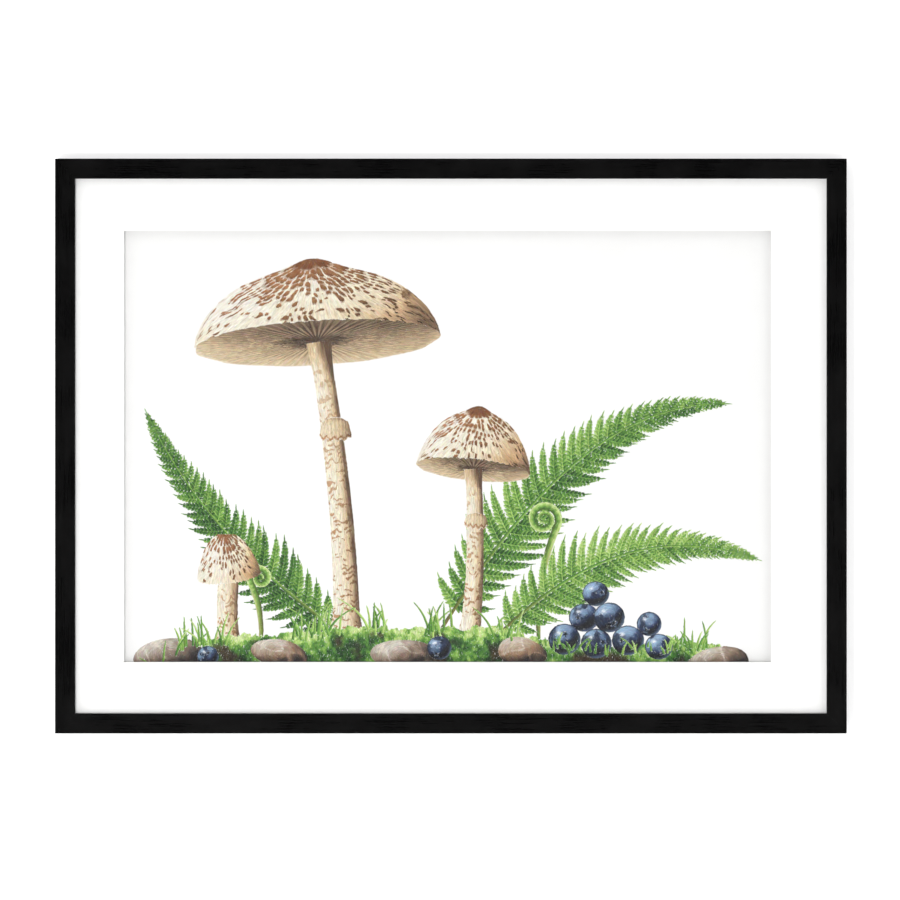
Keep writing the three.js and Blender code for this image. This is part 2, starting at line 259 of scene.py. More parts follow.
def hardboard():
    """Pressed brown fibre: dark flecks and pale strands in a smooth face."""
    finish = Finish("hardboard")
    cloud = finish.noise(0.035, detail=5, rough=0.6)
    strands = finish.noise(0.0018, (3, 1, 1.2), detail=6, rough=0.7, twist=2.5)
    flecks = finish.noise(0.0012, (1, 1, 2.5), detail=2, twist=1.0)
    ground = finish.mixed(finish.spread(cloud, 0.3, 0.7), (0.092, 0.047, 0.023), (0.150, 0.083, 0.043))
    stranded = finish.mixed(finish.spread(strands, 0.5, 0.66, 0.0, 0.65), ground, (0.26, 0.165, 0.092))
    finish.colour(finish.spread(flecks, 0.6, 0.7, 0.0, 0.75), stranded, (0.035, 0.018, 0.010))
    finish.rough(strands, 0.3, 0.7, 0.52, 0.78)
    finish.relief(strands, 0.00012)
    return finish.material


def rolled_steel():
    finish = Finish("rolled_steel", Metallic=1.0)
    lines = finish.noise(0.0005, (12, 1, 1), detail=4, rough=0.6)
    stain = finish.noise(0.004, detail=4)
    finish.colour(stain, (0.15, 0.153, 0.158), (0.32, 0.325, 0.33))
    finish.rough(finish.maths("ADD", lines, stain), 0.7, 1.4, 0.24, 0.46)
    finish.relief(lines, 0.00002)
    return finish.material


def brass_plate():
    finish = Finish("brass_plate", Metallic=1.0)
    dull = finish.noise(0.003, detail=5, rough=0.65)
    lines = finish.noise(0.0004, (10, 1, 1), detail=3)
    finish.colour(dull, (0.24, 0.15, 0.05), (0.42, 0.28, 0.1))
    finish.rough(dull, 0.3, 0.7, 0.22, 0.44)
    finish.relief(lines, 0.00002)
    return finish.material


def black_felt():
    finish = Finish("black_felt", Roughness=1.0, Specular_IOR_Level=0.1, Sheen_Weight=0.4)
    wool = finish.noise(0.0005, detail=6, rough=0.75, twist=2.0)
    finish.colour(wool, (0.006, 0.006, 0.007), (0.045, 0.045, 0.048))
    finish.relief(wool, 0.0003)
    return finish.material


def picture_glass():
    """A clear pane with a low-reflection coat and the faintest streaks of cleaning in its shine."""
    finish = Finish("picture_glass", (0.012, 0.016, 0.014), Alpha=0.05)
    finish.rough(finish.noise(0.05, (1, 1, 4), detail=3), 0.3, 0.7, 0.015, 0.05)
    return finish.material


def dress(material, *starts):
    """Gives a material to every node whose name begins in one of these ways."""
    for name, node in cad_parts.items():
        if name.startswith(starts):
            for slot in node.material_slots:
                slot.material = material


def add_piece(mesh, material):
    """Puts a mesh in the scene as a piece of the object, under the mesh's own name."""
    mesh.materials.append(material)
    piece = bpy.data.objects.new(mesh.name, mesh)
    bpy.context.scene.collection.objects.link(piece)
    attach(piece, "root")


# The mitre's filler, and the solids' own gaps from a sheet to the lip before it and the rebate round it
FILLER_INSET = 0.0001
FILLER_EASE = 0.0005
FILLER_DEPTH = 0.021
FILLER_THICKNESS = 0.00029
SHEET_TO_RAIL = 0.0003
SHEET_TO_REBATE = 0.001


def fill_mitres(material):
    """Black filler in each mitre: a thin plate of the rail's section, a hair below its faces."""
    glass_low, glass_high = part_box("glazing")
    face = high.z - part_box("rail_top")[0][2]
    lip_back = glass_low[1] - SHEET_TO_RAIL - FILLER_INSET
    leg = high.x - glass_high[0] - SHEET_TO_REBATE - FILLER_INSET
    front = low.y + FILLER_INSET
    back = front + FILLER_DEPTH
    inner = face - FILLER_INSET
    section = (
        (FILLER_INSET, front + FILLER_EASE),
        (FILLER_INSET + FILLER_EASE, front),
        (inner - FILLER_EASE, front),
        (inner, front + FILLER_EASE),
        (inner, lip_back),
        (leg, lip_back),
        (leg, back),
        (FILLER_INSET, back),
    )
    off_mitre = FILLER_THICKNESS / 2 / sqrt(2)
    mesh = bmesh.new()
    for (x, right), (z, up) in product(((low.x, 1), (high.x, -1)), ((low.z, 1), (high.z, -1))):
        near, far = (
            [mesh.verts.new((x + right * (run + off), y, z + up * (run - off))) for run, y in section]
            for off in (-off_mitre, off_mitre)
        )
        mesh.faces.new(near)
        mesh.faces.new(far[::-1])
        for k in range(len(section)):
            mesh.faces.new((near[k - 1], far[k - 1], far[k], near[k]))
    bmesh.ops.recalc_face_normals(mesh, faces=mesh.faces)
    filler = bpy.data.meshes.new("mitre_filler")
    mesh.to_mesh(filler)
    mesh.free()
    add_piece(filler, material)


# How far the grain is drawn out along each axis
ALONG_X = (30, 1, 1)
ALONG_Z = (1, 1, 30)

fill_mitres(painted_wood("black_filler"))
dress(painted_wood("black_paint_long", ALONG_X), "rail_top", "rail_bottom")
dress(painted_wood("black_paint_short", ALONG_Z), "rail_left", "rail_right")
dress(picture_glass(), "glazing")
dress(mat_board(), "mat_board")
dress(cotton_paper(), "print_sheet")
dress(foam_board(), "spacer_", "mount_board")
dress(hardboard(), "backing_board")
dress(rolled_steel(), "point_", "wedge_", "hanger_nail")
dress(brass_plate(), "hanger_left", "hanger_right")
dress(black_felt(), "bumper_")


# The page that the drawing is laid out on, in millimetres from the middle of the window
CELLS_A_MM = 4
HALF_WIDE = 312
HALF_HIGH = 210
COLUMNS = 2 * HALF_WIDE * CELLS_A_MM
ROWS = 2 * HALF_HIGH * CELLS_A_MM
PAPER = np.array((0.97, 0.965, 0.95))
RANDOM_SIZE = 256
RANDOM = np.random.default_rng(20).random((RANDOM_SIZE, RANDOM_SIZE))
TO_LIGHT = np.array((-0.52, 0.52, 0.68))


class Page:
    """What lies at each cell: a colour, the way strokes run, how long and wide they are, and the shape."""

    def __init__(self):
        self.colour = np.tile(PAPER.astype(np.float32), (ROWS, COLUMNS, 1))
        self.grain = np.zeros((ROWS, COLUMNS), np.float32)
        self.reach = np.zeros((ROWS, COLUMNS), np.float32)
        self.girth = np.zeros((ROWS, COLUMNS), np.float32)
        self.shape = np.zeros((ROWS, COLUMNS), np.int32)
        self.pieces = [""]
        self.piece = ""
        self.marks = []

    def patch(self, left, right, bottom, top):
        """The cells in a box, with the place of each."""
        columns = slice(*(int(np.clip((v + HALF_WIDE) * CELLS_A_MM, 0, COLUMNS)) for v in (left, right)))
        rows = slice(*(int(np.clip((v + HALF_HIGH) * CELLS_A_MM, 0, ROWS)) for v in (bottom, top)))
        x = (np.arange(columns.start, columns.stop) + 0.5) / CELLS_A_MM - HALF_WIDE
        z = (np.arange(rows.start, rows.stop) + 0.5) / CELLS_A_MM - HALF_HIGH
        return ((rows, columns), *np.meshgrid(x, z))

    def lay(self, where, mask, rgb, grain, reach, girth, same=False):
        """Covers the cells in a mask, as a shape of its own unless it goes on with the same one."""
        if not mask.any():
            return
        if not same:
            self.pieces.append(self.piece)
        self.colour[where][mask] = np.clip(rgb, 0, 1)[mask]
        for layer, value in ((self.grain, grain), (self.reach, reach), (self.girth, girth)):
            layer[where][mask] = value[mask] if np.ndim(value) else value
        self.shape[where][mask] = len(self.pieces) - 1

    def mark(self, points, wide, rgb):
        """One stroke laid in the shape that was laid last, through four given points."""
        self.marks.append((points, wide, rgb, len(self.pieces) - 1))


page = Page()


def smooth(start, end, x):
    """Rises from 0 to 1 as x goes from start to end, gently at both."""
    t = np.clip((x - start) / (end - start), 0, 1)
    return t * t * (3 - 2 * t)


def mix(a, b, share):
    """Goes from a to b, with one share for all or a share for each place."""
    share = np.asarray(share)[..., None] if np.ndim(share) else share
    return np.asarray(a) * (1 - share) + np.asarray(b) * share


def chance(i, j):
    """A random-looking number from 0 to 1 for two whole numbers."""
    return RANDOM[i % RANDOM_SIZE, j % RANDOM_SIZE]


def noise(x, z, size, seed=0):
    """Smooth noise from 0 to 1 with lumps of about this size."""
    x, z = x / size + seed * 17.3, z / size + seed * 9.1
    i, j = np.floor(x).astype(int), np.floor(z).astype(int)
    f, g = smooth(0, 1, x - i), smooth(0, 1, z - j)
    below = chance(i, j) * (1 - f) + chance(i + 1, j) * f
    above = chance(i, j + 1) * (1 - f) + chance(i + 1, j + 1) * f
    return below * (1 - g) + above * g


def clouds(x, z, size, seed, octaves=3):
    """Noise with finer and fainter noise on top."""
    weights = [0.5**k for k in range(octaves)]
    total = sum(w * noise(x, z, size * w, seed + k) for k, w in enumerate(weights))
    return total / sum(weights)


def level_lines(field):
    """The way in which a field stays the same."""
    up, across = np.gradient(field)
    return np.arctan2(across, -up)


def lit(nx, nz, wrap=0.0):
    """How bright a rounded surface is, from the sideways and upward parts of its normal."""
    ny = np.sqrt(np.clip(1 - nx**2 - nz**2, 0, 1))
    return np.clip((nx * TO_LIGHT[0] + ny * TO_LIGHT[1] + nz * TO_LIGHT[2] + wrap) / (1 + wrap), 0, 1)


def ramp(tone, colours):
    """Runs through evenly spaced colours as the tone goes from 0 to 1."""
    place = np.clip(tone, 0, 1) * (len(colours) - 1)
    return sum(mix(0 * c, c, np.clip(1 - np.abs(place - k), 0, 1)) for k, c in enumerate(colours))


def turned(x, z, cx, cz, tilt):
    """Places along and across a tilted line through a centre."""
    dx, dz = x - cx, z - cz
    return dx * cos(tilt) + dz * sin(tilt), -dx * sin(tilt) + dz * cos(tilt)


def bezier(points, t):
    """Points of a curve with three or four control points."""
    layers = [np.asarray(p, float) for p in points]
    t = np.asarray(t)[..., None]
    while len(layers) > 1:
        layers = [a * (1 - t) + b * t for a, b in zip(layers, layers[1:])]
    return layers[0]


def box_of(line, pad):
    """The box round a line's points, grown by pad."""
    (left, bottom), (right, top) = line.min(0) - pad, line.max(0) + pad
    return left, right, bottom, top


# Pencil colours
PALE = np.array((0.98, 0.955, 0.9))
CREAM = np.array((0.955, 0.905, 0.8))
BUFF = np.array((0.83, 0.73, 0.58))
UMBER = np.array((0.42, 0.32, 0.24))
TAN = np.array((0.76, 0.52, 0.3))
RUST = np.array((0.6, 0.33, 0.15))
SEPIA = np.array((0.17, 0.12, 0.1))
SOIL = np.array((0.25, 0.18, 0.13))
BRONZE = np.array((0.46, 0.36, 0.2))
NIGHT = np.array((0.055, 0.065, 0.11))
INK = np.array((0.13, 0.18, 0.3))
SKY = np.array((0.6, 0.72, 0.84))
GREENS = np.array(((0.1, 0.22, 0.1), (0.22, 0.42, 0.16), (0.42, 0.63, 0.24), (0.68, 0.82, 0.42),
                   (0.86, 0.92, 0.66)))
STONES = np.array(((0.16, 0.14, 0.14), (0.5, 0.44, 0.4), (0.87, 0.84, 0.79)))


# Mushrooms

def draw_gills(cx, cz, half_wide, half_high, tilt, count, seed):
    """The underside, an ellipse with gills that fork towards the rim."""
    reach = half_wide * 1.1
    where, x, z = page.patch(cx - reach, cx + reach, cz - half_wide / 2, cz + half_wide / 2)
    x, z = turned(x, z, cx, cz, tilt)
    u, w = x / half_wide, z / half_high
    angle = np.arctan2(w, u)
    out = np.hypot(u, w) / (1 + 0.010 * np.sin(angle * 11 + seed))
    gill = 0.5 + 0.5 * np.cos(angle * count + 0.8 * np.sin(angle * 7 + seed))
    fork = 0.5 + 0.5 * np.cos(angle * count * 2 + 0.8 * np.sin(angle * 5))
    line = np.where(out > 0.66, 0.55 * gill + 0.45 * fork, gill)
    tone = 0.6 + 0.18 * smooth(0.3, 1.0, out) - 0.44 * smooth(-0.25, 0.95, w)
    tone = tone - 0.34 * smooth(0.42, 0.12, out)
    tone -= 0.3 * (1 - line) * (1 - 0.4 * smooth(0.6, 1, out)) + 0.2 * smooth(0.2, 1, u)
    tone += 0.1 * (clouds(x, z, 10, seed) - 0.5) + 0.22 * smooth(0.95, 0.985, out) * smooth(0.3, -0.3, w)
    rgb = ramp(tone, (mix(SEPIA, UMBER, 0.25), mix(BUFF, UMBER, 0.12), CREAM))
    page.lay(where, out < 1, rgb, np.arctan2(z, x) + tilt, reach=6, girth=0.8)


def draw_cap(cx, cz, half_wide, dome, rim, tilt, umbo, warm, seed, rings=11, power=2.3, belly=0.6):
    """The top of a cap, with ragged scales in broken rings round a dark crown."""
    reach = half_wide * 1.15
    where, x, z = page.patch(cx - reach, cx + reach, cz - half_wide, cz + half_wide * 1.3)
    x, z = turned(x, z, cx, cz, tilt)
    u = x / half_wide
    arc = np.sqrt(np.clip(1 - u**2, 0, 1))
    top = dome * np.clip(1 - np.abs(u) ** power, 0, 1) ** belly + umbo * np.exp(-((u / 0.2) ** 2))
    fringe = 0.9 * (0.5 + 0.5 * np.sin(u * 61 + seed)) * (noise(x, z * 0, 5, seed) > 0.45)
    rise = (z - rim * arc + fringe) / np.maximum(top - rim * arc + fringe, 0.01)
    mask = (np.abs(u) < 1) & (rise > 0) & (rise < 1)
    fall = np.clip(1 - rise, 0, 1)
    out, angle = np.hypot(u, fall), np.arctan2(u, fall)
    upward = np.clip(rise, 0, 1) ** 0.9 * arc * 0.95
    light = lit(np.clip(u * (0.55 + 0.45 * out), -1, 1) * 0.93, upward, 0.15)
    tone = 0.06 + 0.94 * light + 0.16 * (noise(angle * 46, out * 5, 1, seed) - 0.5)
    tone += 0.22 * (clouds(x, z, 24, seed) - 0.5) - 0.1 * smooth(0.55, 1, u) + 0.12 * smooth(0.93, 1, fall)
    rgb = ramp(tone, (mix(UMBER, BUFF, 0.08), mix(BUFF, TAN, 0.16 + 0.25 * warm), CREAM, PALE))

    # Each ring is cut into cells, and most cells hold a scale that is darkest along its lower edge
    turn = angle + 0.16 * (noise(x, z, 13, seed + 3) - 0.5)
    ring = out + 0.09 * (noise(x, z, 9, seed + 4) - 0.5)
    level = np.floor(ring * rings).astype(int)
    place = (turn / pi + 0.5) * (5 + np.floor(level * 4.4)) + level * 0.37
    cell = np.floor(place).astype(int)
    luck = chance(level * 37 + seed, cell * 11)
    size = chance(level * 53 + seed, cell * 29 + 7)
    aside = (place - cell - 0.5 + 0.3 * (luck - 0.5)) / (0.3 + 0.18 * size + 0.1 * (ring < 0.45))
    down = ring * rings - level - 0.5 + 0.35 * (size - 0.5)
    below = down / (0.3 + 0.16 * luck + 0.1 * (ring < 0.4))
    present = (luck > 0.08 + 0.62 * smooth(0.45, 1.0, ring)) & (ring > 0.1)
    body = 1 - np.abs(aside) ** 2.2 - np.abs(below) ** 2.2 + 0.35 * (noise(x, z, 1.6, seed + 5) - 0.5)
    scale = smooth(0.0, 0.28, body) * present
    shade = smooth(0.0, 0.5, 1 - aside**2 - ((below - 0.9) / 0.7) ** 2) * present * (1 - scale)
    crown = smooth(0.22 + 0.04 * noise(x, z, 4, seed), 0.12, ring + 0.05 * (noise(x, z, 5, seed + 8) - 0.5))
    brown = mix(TAN, RUST, 0.35 + 0.4 * size)
    strength = np.clip(0.25 + 0.75 * light, 0.25, 1.25)[..., None]
    rgb = mix(rgb, rgb * mix(1, np.array((0.6, 0.5, 0.43)), 0.7), shade * 0.7)
    rgb = mix(rgb, brown * strength, scale * 0.86)
    rgb = mix(rgb, mix(brown, SEPIA, 0.38) * strength, smooth(-0.1, 0.42, down) * scale * 0.78)
    umber = mix(RUST, SEPIA, 0.25 + 0.3 * noise(x, z, 2.5, seed))
    rgb = mix(rgb, umber * (0.55 + 0.65 * light)[..., None], crown * 0.92)
    reach = np.where(scale + crown > 0.4, 3.2, 5.5)
    page.lay(where, mask, rgb, level_lines(angle), reach, girth=0.9)


def draw_stem(curve, half_wide, seed):
    """A rounded stem with torn brown bands. half_wide takes how far up it is, from 0 to 1."""
    line = bezier(curve, np.linspace(0, 1, 60))
    widest = half_wide(np.linspace(0, 1, 20)).max()
    where, x, z = page.patch(*box_of(line, (widest + 2, 2)))
    t, across, grain = along_line(line, x, z)
    s = across / half_wide(t)
    length = np.hypot(*(line[-1] - line[0]))
    light = lit(np.clip(s, -1, 1) * 0.97, 0 * s + 0.05, 0.1)
    tone = 0.05 + 0.98 * light + 0.2 * (noise(s * 9, t * length / 14, 1, seed) - 0.5)
    tone += 0.16 * (clouds(x, z, 15, seed) - 0.5) - 0.34 * smooth(0.12, 0, t) - 0.42 * smooth(0.86, 1, t)
    rgb = ramp(tone, (mix(SEPIA, UMBER, 0.8), mix(BUFF, TAN, 0.06), CREAM, PALE))
    bulge = np.arcsin(np.clip(s, -1, 1))
    waver = 1.5 * noise(bulge * 1.7, t * length / 9, 1, seed + 2)
    waver = waver + 0.7 * noise(bulge * 4, t * length / 3.5, 1, seed + 3)
    torn = noise(bulge * 2.6, t * length / 4, 1, seed + 6)
    ripple = np.sin(tau * (t * length / 5.2 + waver))
    band = smooth(0.1, 0.75, ripple - 1.1 * smooth(0.42, 0.62, torn) + 0.25)
    band *= (0.45 + 0.75 * smooth(0, 0.9, 1 - t)) * smooth(0.995, 0.9, t)
    brown = mix(TAN, RUST, 0.4) * (0.48 + 0.62 * light)[..., None]
    rgb = mix(rgb, brown, np.clip(band, 0, 1) * 0.72)
    reach = np.where(band > 0.4, 3.0, 5.5)
    page.lay(where, (np.abs(s) < 1) & (t < 0.999), rgb, grain, reach, girth=0.85)


def draw_ring(cx, cz, half_wide, drop, tilt, seed):
    """The torn skirt round a stem, flared and pleated, with a brown line above its pale edge."""
    where, x, z = page.patch(cx - half_wide * 1.5, cx + half_wide * 1.5, cz - drop * 2.2, cz + drop)
    x, z = turned(x, z, cx, cz, tilt)
    flare = half_wide * 1.42
    u = np.clip(x / flare, -1, 1)
    arc = np.sqrt(1 - u**2)
    torn = 1.3 * np.sin(u * 14 + seed) + 1.2 * (noise(x, z * 0, 3, seed) - 0.5)
    edge = torn - drop - half_wide * 0.36 * arc
    side = half_wide + (flare - half_wide) * np.clip(0.08 - z / drop, 0, 1) ** 0.6
    mask = (np.abs(x) < side) & (z < 0.22 * drop * (1 - (x / half_wide) ** 2)) & (z > edge)
    light = lit(u * 0.95, 0.15 + 0 * u, 0.1)
    lip = smooth(2.4, 0.4, z - edge)
    pleats = np.cos(np.arcsin(u) * 26 + seed)
    tone = 0.08 + 0.9 * light + 0.1 * pleats + 0.2 * lip - 0.25 * smooth(-1.5, 0.6, z)
    rgb = ramp(tone, (mix(UMBER, BUFF, 0.2), BUFF, CREAM))
    brown = mix(TAN, RUST, 0.6) * (0.5 + 0.6 * light)[..., None]
    rgb = mix(rgb, brown, smooth(4.4, 2.6, z - edge) * (1 - lip) * 0.75)
    page.lay(where, mask, rgb, pi / 2 + tilt + u * 0.35, reach=3.5, girth=0.7)


def along_line(line, x, z):
    """For each place, how far along a line its nearest point is, how far across, and the way there."""
    best = np.full(x.shape, np.inf)
    t, across, way = (np.zeros(x.shape) for _ in range(3))
    for k, (a, b) in enumerate(zip(line, line[1:])):
        d = b - a
        share = np.clip(((x - a[0]) * d[0] + (z - a[1]) * d[1]) / (d @ d), 0, 1)
        ex, ez = x - a[0] - share * d[0], z - a[1] - share * d[1]
        apart = ex * ex + ez * ez
        near = apart < best
        best = np.where(near, apart, best)
        t = np.where(near, (k + share) / (len(line) - 1), t)
        across = np.where(near, np.sign(d[1] * ex - d[0] * ez) * np.sqrt(apart), across)
        way = np.where(near, np.arctan2(d[1], d[0]), way)
    return t, across, way


# Leaves and stalks

BOW = 0.1
BARE_FOOT = 0.14
STEPS_A_TURN = 26


def draw_leaflet(x0, z0, way, length, width, tone, hand):
    """A small leaf from its root, with one half lighter than the other and a dark midrib."""
    tip = (x0 + length * cos(way), z0 + length * sin(way))
    where, x, z = page.patch(*box_of(np.array(((x0, z0), tip)), width))
    if not x.size:
        return
    x, z = turned(x, z, x0, z0, way)
    t = np.clip(x / length, 0, 1)
    z = z - hand * BOW * length * (t - t * t)
    half = width / 2 * 1.2 * (t + 0.03) ** 0.16 * (1 - t) ** 0.55
    mask = (t > 0) & (t < 1) & (np.abs(z) < half)
    s = z / np.maximum(half, 0.05)
    plain = np.float64(tone - 0.05)
    lit_side = 1 if cos(way) < 0 else -1
    tone = tone + 0.13 * np.sign(s) * lit_side - 0.22 * smooth(0.35, 0, t) + 0.18 * smooth(0.5, 1, t)
    tone = tone - 0.2 * smooth(0.16, 0.0, np.abs(s)) - 0.08 * smooth(0.6, 1, np.abs(s))
    page.lay(where, mask, ramp(tone, GREENS), way + s * 0.3, reach=2.4, girth=0.6)
    run = np.array((-0.1, 0.12, 0.62, 1.0))
    bow = hand * BOW * (run - run**2)
    spots_x = x0 + length * (run * cos(way) - bow * sin(way))
    spots_z = z0 + length * (run * sin(way) + bow * cos(way))
    page.mark(np.stack((spots_x, spots_z), 1), width * 0.85, ramp(plain, GREENS))


def draw_stalk(line, half_wide, paint, girth=0.6):
    """A thin tapered line, span by span. paint gives the colour from how far along and across."""
    line = np.asarray(line)
    spans = len(line) - 1
    started = False
    for k, (a, b) in enumerate(zip(line, line[1:])):
        where, x, z = page.patch(*box_of(np.array((a, b)), max(half_wide((k + 0.5) / spans), 0.25)))
        d = b - a
        share = ((x - a[0]) * d[0] + (z - a[1]) * d[1]) / (d @ d)
        across = (d[1] * (x - a[0]) - d[0] * (z - a[1])) / np.hypot(*d)
        t = (k + np.clip(share, 0, 1)) / spans
        half = half_wide(t)
        mask = (share > -0.15) & (share < 1.15) & (np.abs(across) < half)
        if mask.any():
            rgb = paint(t, across / np.maximum(half, 0.01))
            page.lay(where, mask, rgb, float(np.arctan2(d[1], d[0])), 5, girth, started)
            started = True
    for k in range(0, spans - 2, 2):
        t = np.array((k + 1.5) / spans)
        page.mark(line[k:k + 4], 1.8 * float(half_wide(t)), paint(t, np.array(0.0)))


def draw_pinna(root, way, length, gap, curl, tone, local):
    """One side leaf of a frond, with a leaflet on either side at each step and one at its tip."""
    count = max(int(length / max(gap * 0.3, 1.9)), 1)
    step = length / count
    spot, heading = np.array(root, float), way
    spots = []
    for _ in range(count):
        spots.append((spot, heading))
        spot = spot + step * np.array((cos(heading), sin(heading)))
        heading += 0.38 * curl / count
    for j, (place, lies) in reversed(list(enumerate(spots))):
        size = gap * 0.64 * (1 - j / count) ** 0.55 + 0.5
        for side in (-1, 1):
            light = tone + local.uniform(-0.1, 0.1) - 0.13 * (side * curl > 0)
            light = light - 0.1 * smooth(0.25, 0, j / count)
            lean = side * (1.05 - 0.4 * j / count)
            long = size * local.uniform(0.9, 1.12)
            draw_leaflet(*place, lies + lean, long, max(step * 1.12, 1.3), light, local.choice((-1, 1)))
    draw_leaflet(*spots[-1][0], heading, gap * 0.35 + 1.0 + step, 1.3, tone, 1)
    line = [spot for spot, _ in spots[::2]]
    if len(line) > 3:
        draw_stalk(line, lambda t: 0.42 - 0.22 * t, lambda t, s: ramp(tone + 0.1 + 0 * t, GREENS), 0.5)


def draw_frond(curve, width, seed, tone, pairs):
    """A fern frond: side leaves in pairs, shorter towards the tip, laid from the tip down, and a rib."""
    local = np.random.default_rng(seed)
    even = np.linspace(0, 1, 200)
    run = np.concatenate(([0], np.cumsum(np.hypot(*np.diff(bezier(curve, even), axis=0).T))))
    share = 1 - (1 - np.arange(pairs) / pairs) ** 1.25
    t = np.interp((BARE_FOOT + (0.985 - BARE_FOOT) * share) * run[-1], run, even)
    roots = bezier(curve, t)
    ahead = bezier(curve, np.minimum(t + 0.01, 1)) - bezier(curve, t - 0.01)
    gaps = np.diff(np.append(share, 1)) * (1 - BARE_FOOT) * run[-1]
    for k in reversed(range(pairs)):
        profile = (0.5 + 0.5 * smooth(0, 0.25, share[k])) * (1 - share[k]) ** 0.85 + 0.02
        for side in (-1, 1):
            spread = 1.25 - 0.45 * share[k] + local.uniform(-0.07, 0.07)
            way = np.arctan2(ahead[k][1], ahead[k][0]) + side * spread
            light = tone + 0.1 * (sin(way) > 0) + local.uniform(-0.1, 0.1)
            length = width * profile * local.uniform(0.9, 1.06)
            draw_pinna(roots[k], way, length, gaps[k] * 1.04, -side, light, local)

    def paint(t, s):
        light = 0.62 + 0.3 * s
        brown = BRONZE * (0.6 + 0.5 * light)[..., None]
        return mix(ramp(light * 0.8, GREENS), brown, smooth(0.35, 0.0, t) * 0.8)

    draw_stalk(bezier(curve, np.linspace(0, 1, 50)), lambda t: 1.25 * (1 - t) ** 0.7 + 0.25, paint)


def draw_crozier(x, z, height, lean, turns, size, hand):
    """A young frond that is still rolled up."""
    up = bezier(((x, z), (x - lean * 0.2, z + height * 0.6), (x + lean, z + height)), np.linspace(0, 1, 24))
    heading, spot = float(np.arctan2(*(up[-1] - up[-2])[::-1])), up[-1]
    steps = int(turns * STEPS_A_TURN)
    roll = []
    for k in range(steps):
        heading -= hand * tau / STEPS_A_TURN
        radius = size * ((1 - k / steps) ** 0.9 + 0.1)
        spot = spot + radius * tau / STEPS_A_TURN * np.array((cos(heading), sin(heading)))
        roll.append(spot)
    straight = len(up) / (len(up) + steps)

    def half_wide(t):
        return 1.9 + 1.5 * smooth(0, straight * 1.2, t) - 2.2 * smooth(straight * 1.1, 1, t)

    def paint(t, s):
        tone = 0.6 - 0.42 * s * hand + 0.12 * np.sin(t * 260) * (t > straight * 0.8)
        hairs = 0.45 * smooth(0.4, 0.0, t) + 0.3 * smooth(0.3, 0.9, s * hand)
        return mix(ramp(tone, GREENS), BRONZE, hairs)

    draw_stalk(np.vstack((up, roll)), half_wide, paint)


# Berries and the ground

# How near the middles of two berries that touch are, as a share of both radii
NESTLED = 0.95


def draw_berry(cx, cz, radius, seed):
    """A dark berry with a pale bloom, rubbed in places, and the small star where its flower was."""
    facing = ((0.3, -0.4), (-0.25, -0.5), (0.05, 0.35), (0.45, 0.1), (-0.4, 0.0))[seed % 5]
    where, x, z = page.patch(cx - radius - 1, cx + radius + 1, cz - radius - 1, cz + radius + 1)
    bloom = clouds(x, z, radius * 0.55, seed, 4)
    x, z = (x - cx) / radius, (z - cz) / (radius * (0.95 + 0.03 * cos(seed)))
    out = np.hypot(x, z)
    light = lit(x * 0.98, z * 0.98)
    rgb = ramp(0.92 * light + 0.7 * (bloom - 0.5), (NIGHT * 0.7, INK * 1.1, mix(INK, SKY, 0.75), SKY))
    rgb = mix(rgb, INK * 0.75, smooth(0.5, 0.36, bloom) * smooth(0.15, 0.6, light) * 0.75)
    glow = smooth(0.72, 0.97, out) * smooth(0.1, 0.8, x * 0.7 - z * 0.7)
    rgb = mix(rgb, mix(INK, SKY, 0.65), glow * 0.65)
    shine = np.clip(1.1 * np.exp(-(((x + 0.36) / 0.17) ** 2) - ((z - 0.42) / 0.13) ** 2), 0, 1)
    rgb = mix(rgb, np.array((0.95, 0.97, 1.0)), shine)
    fx, fz = (x - facing[0]) / 0.8, z - facing[1]
    star = 0.21 + 0.07 * np.cos(5 * np.arctan2(fz, fx) + seed)
    from_star = np.hypot(fx, fz)
    rgb = mix(rgb, NIGHT * 0.6, smooth(star, star - 0.1, from_star) * 0.9)
    rgb = mix(rgb, mix(INK, SKY, 0.6), smooth(0.09, 0.02, np.abs(from_star - star)) * 0.8)
    rgb = mix(rgb, NIGHT, smooth(0.9, 1.0, out) * smooth(0.5, -0.5, x * 0.7 - z * 0.7) * 0.7)
    page.lay(where, out < 1, rgb, np.arctan2(x, -z), np.where(shine > 0.3, 1.6, 3.2), girth=0.7)


def perched(left, right, radius):
    """Where a berry comes to rest in the dip between two others."""
    apart = np.array(right[:2]) - left[:2]
    across = hypot(*apart)
    to_left, to_right = NESTLED * (left[2] + radius), NESTLED * (right[2] + radius)
    along = (to_left ** 2 - to_right ** 2 + across ** 2) / (2 * across)
    up = sqrt(to_left ** 2 - along ** 2)
    x, z = left[:2] + (along * apart + up * np.array((-apart[1], apart[0]))) / across
    return x, z, radius


def draw_pebble(cx, cz, half_wide, half_high, tilt, warm, seed):
    """A speckled stone with pale veins."""
    where, x, z = page.patch(cx - half_wide - 3, cx + half_wide + 3, cz - half_wide - 3, cz + half_wide + 3)
    speck = clouds(x, z, 5, seed, 4) - 0.5
    vein = smooth(0.06, 0.0, np.abs(noise(x + z * 0.4, z, 17, seed + 5) - 0.5)) * 0.25
    x, z = turned(x, z, cx, cz, tilt)
    angle = np.arctan2(z / half_high, x / half_wide)
    out = np.hypot(x / half_wide, z / half_high)
    out = out / (1 + 0.05 * np.sin(2 * angle + seed) + 0.04 * np.sin(3 * angle + seed * 2.1))
    light = lit(x / half_wide * 0.93, z / half_high * 0.93, 0.05)
    stones = (STONES[0], mix(STONES[1], TAN, warm), STONES[2])
    rgb = ramp(0.92 * light + 0.45 * speck + vein + 0.02, stones)
    page.lay(where, out < 1, rgb, angle + pi / 2 + tilt, reach=4, girth=0.8)


